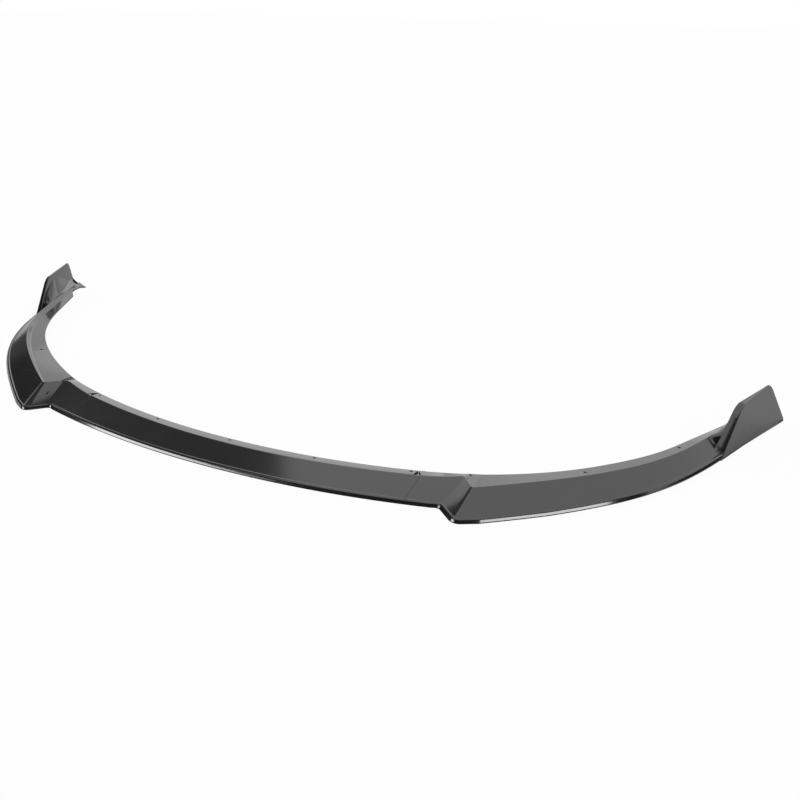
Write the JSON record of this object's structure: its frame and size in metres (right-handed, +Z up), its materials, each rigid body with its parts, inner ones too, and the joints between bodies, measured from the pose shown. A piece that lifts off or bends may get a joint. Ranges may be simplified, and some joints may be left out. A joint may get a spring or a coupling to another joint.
{
  "type": "front splitter lip",
  "caption": "Moulded front splitter lip for a car bumper, with a drilled mounting flange, stepped noses and upright rear fins.",
  "frame": {"origin": "on the floor under the middle of the lip's box, the lip lying on its lower edge", "axes": "+X along the lip's width to the right as seen from the front, -Y forwards past the noses, +Z up"},
  "size_m": [1.8298, 0.6352, 0.091],
  "materials": {
    "gloss_black": "gloss black moulded plastic",
    "zinc_steel": "bright zinc-plated steel"
  },
  "bodies": {
    "root": {"center_section": "gloss_black", "left_end": "gloss_black", "right_end": "gloss_black", "seam_bolts": "zinc_steel", "seam_washers": "zinc_steel", "seam_nuts": "zinc_steel"}
  },
  "joints": []
}
